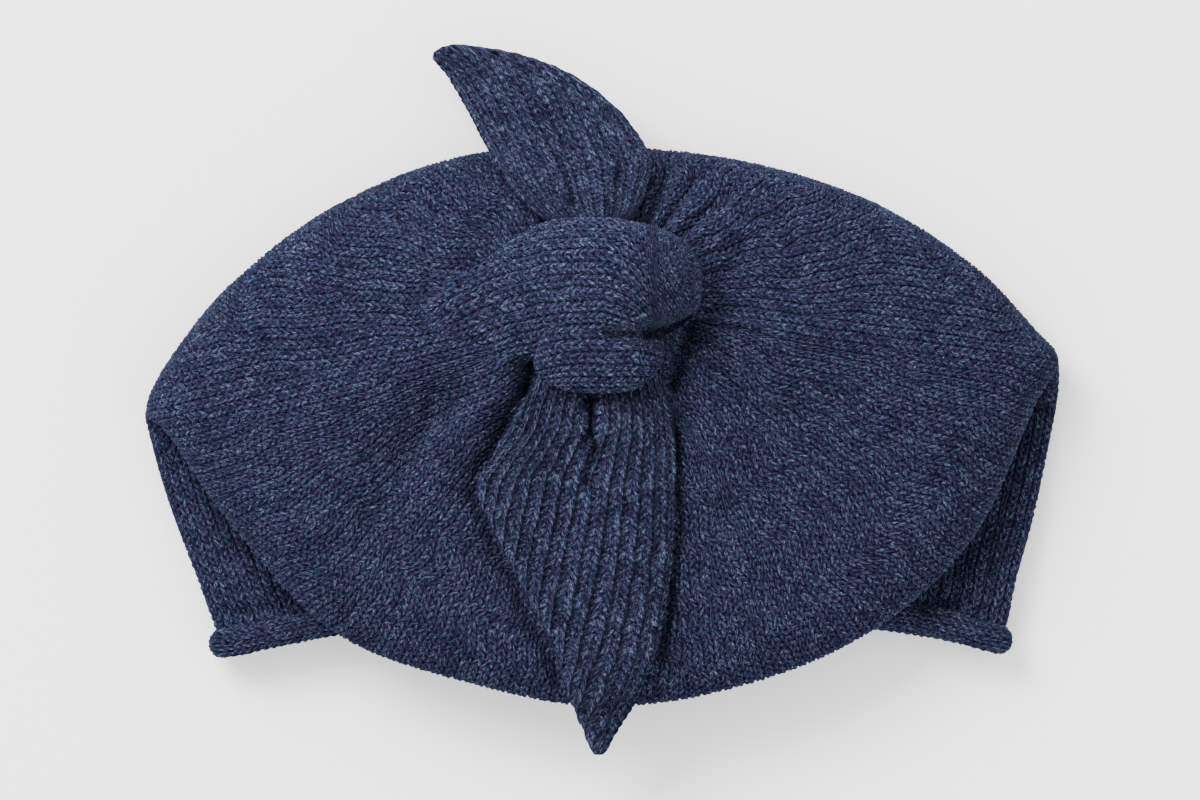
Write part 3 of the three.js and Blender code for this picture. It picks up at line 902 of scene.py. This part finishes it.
# leftX, leftY, rightX, rightY, bottom, thick, depth of the fold as a share of the thickness
upperTail = {
    "rows": [
        (-42.2, 87.6, -40, 89, 13, 1.8, 0),
        (-42.6, 86, -36, 89.6, 12, 4, 0),
        (-41.6, 84.8, -28.6, 88.6, 11.8, 5.2, 0),
        (-39.6, 83, -19, 86.6, 12.4, 6, 0),
        (-36.6, 78.6, -8, 82.2, 13.6, 6.8, 0.05),
        (-33.6, 73.2, 0.2, 76.6, 15.4, 7.4, 0.1),
        (-30.8, 67.6, 6.2, 70.6, 17, 7.8, 0.15),
        (-28.2, 62.6, 10.6, 64.6, 19.6, 8, 0.2),
        (-25.4, 57.4, 12.6, 59.2, 23.4, 8, 0.25),
        (-20.6, 50.4, 11, 52.8, 27.3, 7.8, 0.3),
        (-16.4, 46.4, 9.4, 48.2, 29.5, 7.2, 0.25),
        (-11.6, 43.6, 6.6, 44.4, 31, 6.2, 0.1),
    ],
    "finePoints": (130, 120, 30),  # along, over the top, underneath
    "slits": [(-9.6, 60, -5.6, 44, 2.2, 3.4), (-14, 70, -9.6, 60, 3, 1.4), (5, 60, 2.4, 46, 1.6, 1.6)],
    "ribWidth": 3.8,
    "firstWale": 20.1,
    "lean": 0.2,  # how far the rows fall back over the width of the tail, in rows for a millimetre
    "tipFade": 9,  # the stitches flatten this near a piece's two ends
    "biasSide": -1,  # the ribs end at the right edge, and at the left one where this is 1
    "biasFade": 3.5,  # they flatten this near both edges
}
lowerTail = {
    "rows": [
        (-15, 8.6, 13, 8.6, 34.3, 4.4, 0.1),
        (-18.6, 1, 15.6, 1, 34.3, 4.8, 0.35),
        (-23.4, -7, 17.4, -7, 34.3, 5.6, 0.35),
        (-27.8, -15, 18, -15, 34.3, 5.8, 0.15),
        (-30.8, -23.4, 18.2, -24, 34.3, 5.8, 0.05),
        (-27.6, -31, 18, -33, 34.2, 5.8, 0),
        (-22.6, -41, 17.4, -42.4, 34, 5.8, 0),
        (-17, -51.6, 16, -52.4, 33.6, 5.8, 0),
        (-11.6, -62, 14, -62.4, 33, 5.8, 0),
        (-9.4, -70.2, 10.8, -70.4, 31.6, 5.6, 0),
        (-7, -77, 7.8, -77, 28, 5.4, 0),
        (-4.4, -83.2, 3.8, -83.2, 24.6, 5, 0),
        (-3, -87.2, 1.8, -87.2, 23.2, 4.2, 0),
        (-1.8, -88.9, 0.4, -88.9, 23.6, 1.8, 0),
    ],
    "finePoints": (196, 140, 40),
    "slits": [(-3.8, 3, -1.8, -12, 1.5, 4.4), (-1.8, -12, -3, -20, 1.8, 1.6)],
    "ribWidths": [(-88, 5), (-60, 5), (-40, 4.6), (-19, 4.0), (-8, 3.2), (8.6, 2.4)],  # y, width there
    "firstWale": 0.08,
    "rowCentre": (17.5, 52),  # the rows are arcs round this place
    "tipFade": 9,
    "biasSide": 1,
    "biasFade": 3,
}

# x, low, high, bottom, top
overWrap = {
    "rows": [
        (-54, 13, 27, 20, 28),
        (-46, 12, 29, 22, 30.6),
        (-38, 11, 31.4, 23, 33.2),
        (-32, 10, 34, 24, 35.2),
        (-26, 9.4, 37.4, 25, 37.8),
        (-20, 9.4, 41.2, 26, 41.2),
        (-14, 11, 44.2, 29, 45.6),
        (-7, 13.4, 45.2, 33, 50.4),
        (1, 14.4, 45.2, 35, 53.4),
        (8, 14.8, 44.2, 35, 54.2),
        (14, 15.6, 42.8, 34.8, 53),
        (18.6, 17.4, 40.6, 34.6, 50.2),
        (22, 20, 37.6, 34.6, 46.4),
        (24, 23, 34.4, 34.8, 42),
        (25, 26, 31.4, 35, 38.6),
    ],
    "finePoints": (160, 120, 30),
    "slits": [(22, 19.6, 11, 16.9, 2.1, 9), (11, 16.9, 2, 16, 1.7, 3.4), (18, 25.4, 8, 21.6, 1.4, 1.5)],
    "middle": 28,  # y of the column that the others are counted from
    "bendFrom": -1,  # from here the columns turn down round the knot's right end
    "bend": 0.045,
    "leftBendFrom": -6,  # and from here towards its left end
    "leftBend": 0.009,
    "firstWale": 20,
    "firstCourse": 40,
    "tipFade": 3,
}
underWrap = {
    "rows": [
        (-17, 8.4, 22, 33, 36),
        (-15.4, 6, 23, 34.6, 41),
        (-12.6, 3.8, 24, 36, 45),
        (-8, 2.4, 24.4, 37, 47.4),
        (0, 1.8, 24.6, 37.4, 48.6),
        (7, 2.6, 24.4, 37.4, 48),
        (11.4, 4.8, 24, 37, 46),
        (14.2, 8, 23, 35.6, 42),
        (15.6, 11, 22, 34, 37.4),
    ],
    "finePoints": (90, 90, 20),
    "slits": [(22, 19.6, 11, 16.9, 2.1, 9), (11, 16.9, 2, 16, 1.7, 3.4)],
    "middle": 12,
    "bendFrom": 8,
    "bend": 0.03,
    "leftBendFrom": -6,
    "leftBend": 0.02,
    "firstWale": 20,
    "firstCourse": 40,
    "tipFade": 3,
}


def tailSections(rows, turn, slits):
    leftX, leftY, rightX, rightY, bottom, thick, fold = rows.T[:, :, None]
    across = (1 + np.cos(turn)) / 2
    isTop = np.sin(turn) > 0
    fade = 1 - fold * np.exp(-((np.cos(turn) / foldWidth) ** 2))
    reach = np.where(isTop, thick * (1 - edgeShare) * fade, thick * edgeShare)
    x, y = mix(leftX, rightX, across), mix(leftY, rightY, across)
    z = bottom + edgeShare * thick + reach * np.sin(turn)
    return np.stack([x, y, z - np.where(isTop, pressed(x, y, slits), 0)], axis=-1)


def wrapSections(rows, turn, slits):
    x, low, high, bottom, top = rows.T[:, :, None]
    edge = mix(bottom, top, edgeShare)
    isTop = np.sin(turn) > 0
    reach = np.where(isTop, top - edge, edge - bottom)
    y = mix(low, high, (1 + np.cos(turn)) / 2)
    z = edge + reach * np.sin(turn) - np.where(isTop, pressed(x, y, slits), 0)
    return np.stack([np.broadcast_to(x, y.shape), y, z], axis=-1)


def loftRelief(part, base, rows, turn):  # share of the relief left near a piece's ends and a tail's edges
    ends = base[[0, -1]].mean(axis=1)
    fromTip = np.linalg.norm(base.mean(axis=1)[:, None] - ends, axis=2).min(axis=1)
    relief = smooth(fromTip / part["tipFade"])[:, None]
    if "biasFade" in part:
        wide = np.linalg.norm(rows[:, 2:4] - rows[:, :2], axis=1)[:, None]
        fromBias = (1 + part["biasSide"] * np.cos(turn)) / 2 * wide
        relief = relief * mix(biasRelief, 1, smooth(fromBias / part["biasFade"]))
        relief = relief * mix(edgeRelief, 1, smooth((wide - fromBias) / part["biasFade"]))
    return relief


def loftFaces(along, around):  # a tube, with a fan of faces onto one more point at each end
    step = np.arange(around)
    following = (step + 1) % around
    lastRing = (along - 1) * around
    firstEnd, lastEnd = np.full(around, along * around), np.full(around, along * around + 1)
    first = np.stack([step, following, firstEnd, firstEnd], axis=1)
    last = np.stack([lastRing + following, lastRing + step, lastEnd, lastEnd], axis=1)
    return np.concatenate([gridFaces(along, around, closed=True), first, last])


def makeLoft(name, part, sections, stitches, look, outwards):  # outwards: 1 or -1, by the way its rows run
    along, over, under = part["finePoints"]
    rows = openCurve(part["rows"], np.linspace(0, len(part["rows"]) - 1, along))
    overTurn = np.linspace(0, math.pi, over + 1)[:-1]
    underTurn = np.linspace(math.pi, turnOnce, under + 1)[:-1]
    turn = np.concatenate([overTurn, underTurn])
    base = sections(rows, turn, part["slits"])
    around = np.roll(base, -1, axis=1) - np.roll(base, 1, axis=1)
    normals = outwards * unit(np.cross(np.gradient(base, axis=0), around))
    wale, course = strayed(base, *stitches(base, rows, turn, part))
    height = stitchHeight(wale, course, look) * loftRelief(part, base, rows, turn) + fuzz(base)
    points = base + normals * height[..., None]
    faces = loftFaces(along, len(turn))
    isTop = np.append(np.broadcast_to(np.sin(turn) > 0, base.shape[:2]).ravel(), [True, True])
    isTop = isTop[faces].mean(axis=1) > 0.5
    isTop[-2 * len(turn):] = True  # the two fans
    if outwards > 0:
        faces = faces[:, ::-1]
    ends = base[[0, -1]].mean(axis=1)
    flat = np.concatenate([base.reshape(-1, 3), ends])
    rough = np.concatenate([points.reshape(-1, 3), ends])
    coordinates = np.stack([wale, course], axis=-1)
    coordinates = np.concatenate([coordinates.reshape(-1, 2), coordinates[[0, -1]].mean(axis=1)])
    layers = {"stitch": coordinates[faces], "OFBake": bakeLayout(flat, faces, ~isTop)}
    return newMesh(name, rough, faces, layers)


def roundEdge(rows, turn):  # the way that the cloth goes down round a tail's side edges
    drop = rows[:, 5:6] * (1 - edgeShare) * (1 - np.sin(turn))
    return np.where(np.cos(turn) > 0, -drop, drop)


def lowerStitches(base, rows, turn, part):
    widths = np.array(part["ribWidths"], float)
    x, y = base[..., 0], base[..., 1]
    width = np.interp(y, widths[:, 0], widths[:, 1])
    wale = (rows[:, None, 2] - x + roundEdge(rows, turn)) / width + part["firstWale"]
    centreX, centreY = part["rowCentre"]
    return wale, np.hypot(x - centreX, y - centreY) / rib["courseHeight"]


def upperStitches(base, rows, turn, part):  # the columns run along the left edge and end at the right one
    left = rows[:, :2]
    reached = np.concatenate([[0], np.cumsum(np.linalg.norm(np.diff(left, axis=0), axis=1))])
    wide = np.linalg.norm(rows[:, 2:4] - rows[:, :2], axis=1)
    widest = wide.argmax()
    drawnIn = np.where(np.arange(len(wide)) > widest, wide / wide[widest], 1)[:, None]
    across = (1 + np.cos(turn)) / 2
    wale = (across * wide[:, None] - roundEdge(rows, turn)) / (part["ribWidth"] * drawnIn) + part["firstWale"]
    course = reached[:, None] / rib["courseHeight"] - across * wide[:, None] * part["lean"]
    return wale, np.broadcast_to(course, wale.shape)


def wrapStitches(base, rows, turn, part):
    x = base[..., 0]
    past = np.maximum(0, x - part["bendFrom"])
    before = np.maximum(0, part["leftBendFrom"] - x)
    level = base[..., 1] + part["bend"] * past**2 + part["leftBend"] * before**2
    steps = np.linalg.norm(np.diff(base, axis=1), axis=2)
    reached = np.concatenate([np.zeros((len(rows), 1)), np.cumsum(steps, axis=1)], axis=1)
    over = turn <= math.pi
    middle = [np.interp(-part["middle"], -a[over], b[over]) for a, b in zip(level, reached)]
    above = np.maximum(0, part["middle"] - level[:, :1])
    below = np.maximum(0, level[:, over][:, -1:] - part["middle"])
    counted = np.array(middle)[:, None] - above + below - reached
    crest = base[:, over.sum() // 2]
    ahead = np.concatenate([[0], np.cumsum(np.linalg.norm(np.diff(crest, axis=0), axis=1))])
    ahead = ahead[:, None] + 2 / 3 * part["bend"] ** 2 * past**3  # a column that turns down runs longer
    wale = counted / wrapRib["waleWidth"] + part["firstWale"]
    return wale, ahead / wrapRib["courseHeight"] + part["firstCourse"]


lowerTailPiece = makeLoft("tail_lower", lowerTail, tailSections, lowerStitches, rib, 1)
upperTailPiece = makeLoft("tail_upper", upperTail, tailSections, upperStitches, softRib, 1)
overWrapPiece = makeLoft("knot_over", overWrap, wrapSections, wrapStitches, wrapRib, -1)
underWrapPiece = makeLoft("knot_under", underWrap, wrapSections, wrapStitches, wrapRib, -1)
dress(lowerTailPiece, ["lower_tail"], ribWool)
dress(upperTailPiece, ["upper_tail"], softRibWool)
dress(overWrapPiece, ["knot_over_wrap"], wrapWool)
dress(underWrapPiece, ["knot_under_wrap"], wrapWool)
print("tails and knot made")


# studio

studio = {  # in metres and watts
    "floorSize": 6.0,
    "floorTone": (250, 250, 250),
    "floorRoughness": 0.9,
    "floorGloss": 0.1,
    "sky": 2.05,
    "keyPower": 98,
    "keySize": 1.0,
    "keyPlace": (-0.9, 1.1, 1.5),
    "fillPower": 12,
    "fillSize": 1.6,
    "fillPlace": (1.3, -0.9, 1.4),
    "cameraHeight": 2.4,
    "sensorWidth": 36,  # in millimetres
    "fieldWidth": 0.3,  # of the picture, at the height of the hat's upper face
    "fieldMiddle": (-0.0004, 0.0),
    "focusHeight": 0.03,
    "viewDepth": 20,
}


def makeFloor():
    mesh = bpy.data.meshes.new("floor")
    half = studio["floorSize"] / 2
    corners = [(-half, -half, 0), (half, -half, 0), (half, half, 0), (-half, half, 0)]
    mesh.from_pydata(corners, [], [(0, 1, 2, 3)])
    floor = bpy.data.objects.new("floor", mesh)
    bpy.context.scene.collection.objects.link(floor)
    material = bpy.data.materials.new("pale_floor")
    material.use_nodes = True
    shader = material.node_tree.nodes["Principled BSDF"]
    shader.inputs["Base Color"].default_value = colour(*studio["floorTone"])
    shader.inputs["Roughness"].default_value = studio["floorRoughness"]
    shader.inputs["Specular IOR Level"].default_value = studio["floorGloss"]
    mesh.materials.append(material)


def makeLight(name, place, power, size):
    light = bpy.data.lights.new(name, "AREA")
    light.energy = power
    light.size = size
    holder = bpy.data.objects.new(name, light)
    holder.location = place
    direction = -holder.location
    holder.rotation_euler = direction.to_track_quat("-Z", "Y").to_euler()
    bpy.context.scene.collection.objects.link(holder)


def makeCamera():
    data = bpy.data.cameras.new("camera")
    data.sensor_width = studio["sensorWidth"]
    distance = studio["cameraHeight"] - studio["focusHeight"]
    data.lens = studio["sensorWidth"] * distance / studio["fieldWidth"]
    data.clip_end = studio["viewDepth"]
    camera = bpy.data.objects.new("camera", data)
    camera.location = (*studio["fieldMiddle"], studio["cameraHeight"])
    bpy.context.scene.collection.objects.link(camera)
    bpy.context.scene.camera = camera


makeFloor()
makeLight("key", studio["keyPlace"], studio["keyPower"], studio["keySize"])
makeLight("fill", studio["fillPlace"], studio["fillPower"], studio["fillSize"])
makeCamera()
world = bpy.data.worlds.new("studio")
world.use_nodes = True
world.node_tree.nodes["Background"].inputs["Color"].default_value = (1, 1, 1, 1)
world.node_tree.nodes["Background"].inputs["Strength"].default_value = studio["sky"]
bpy.context.scene.world = world
print("studio set")
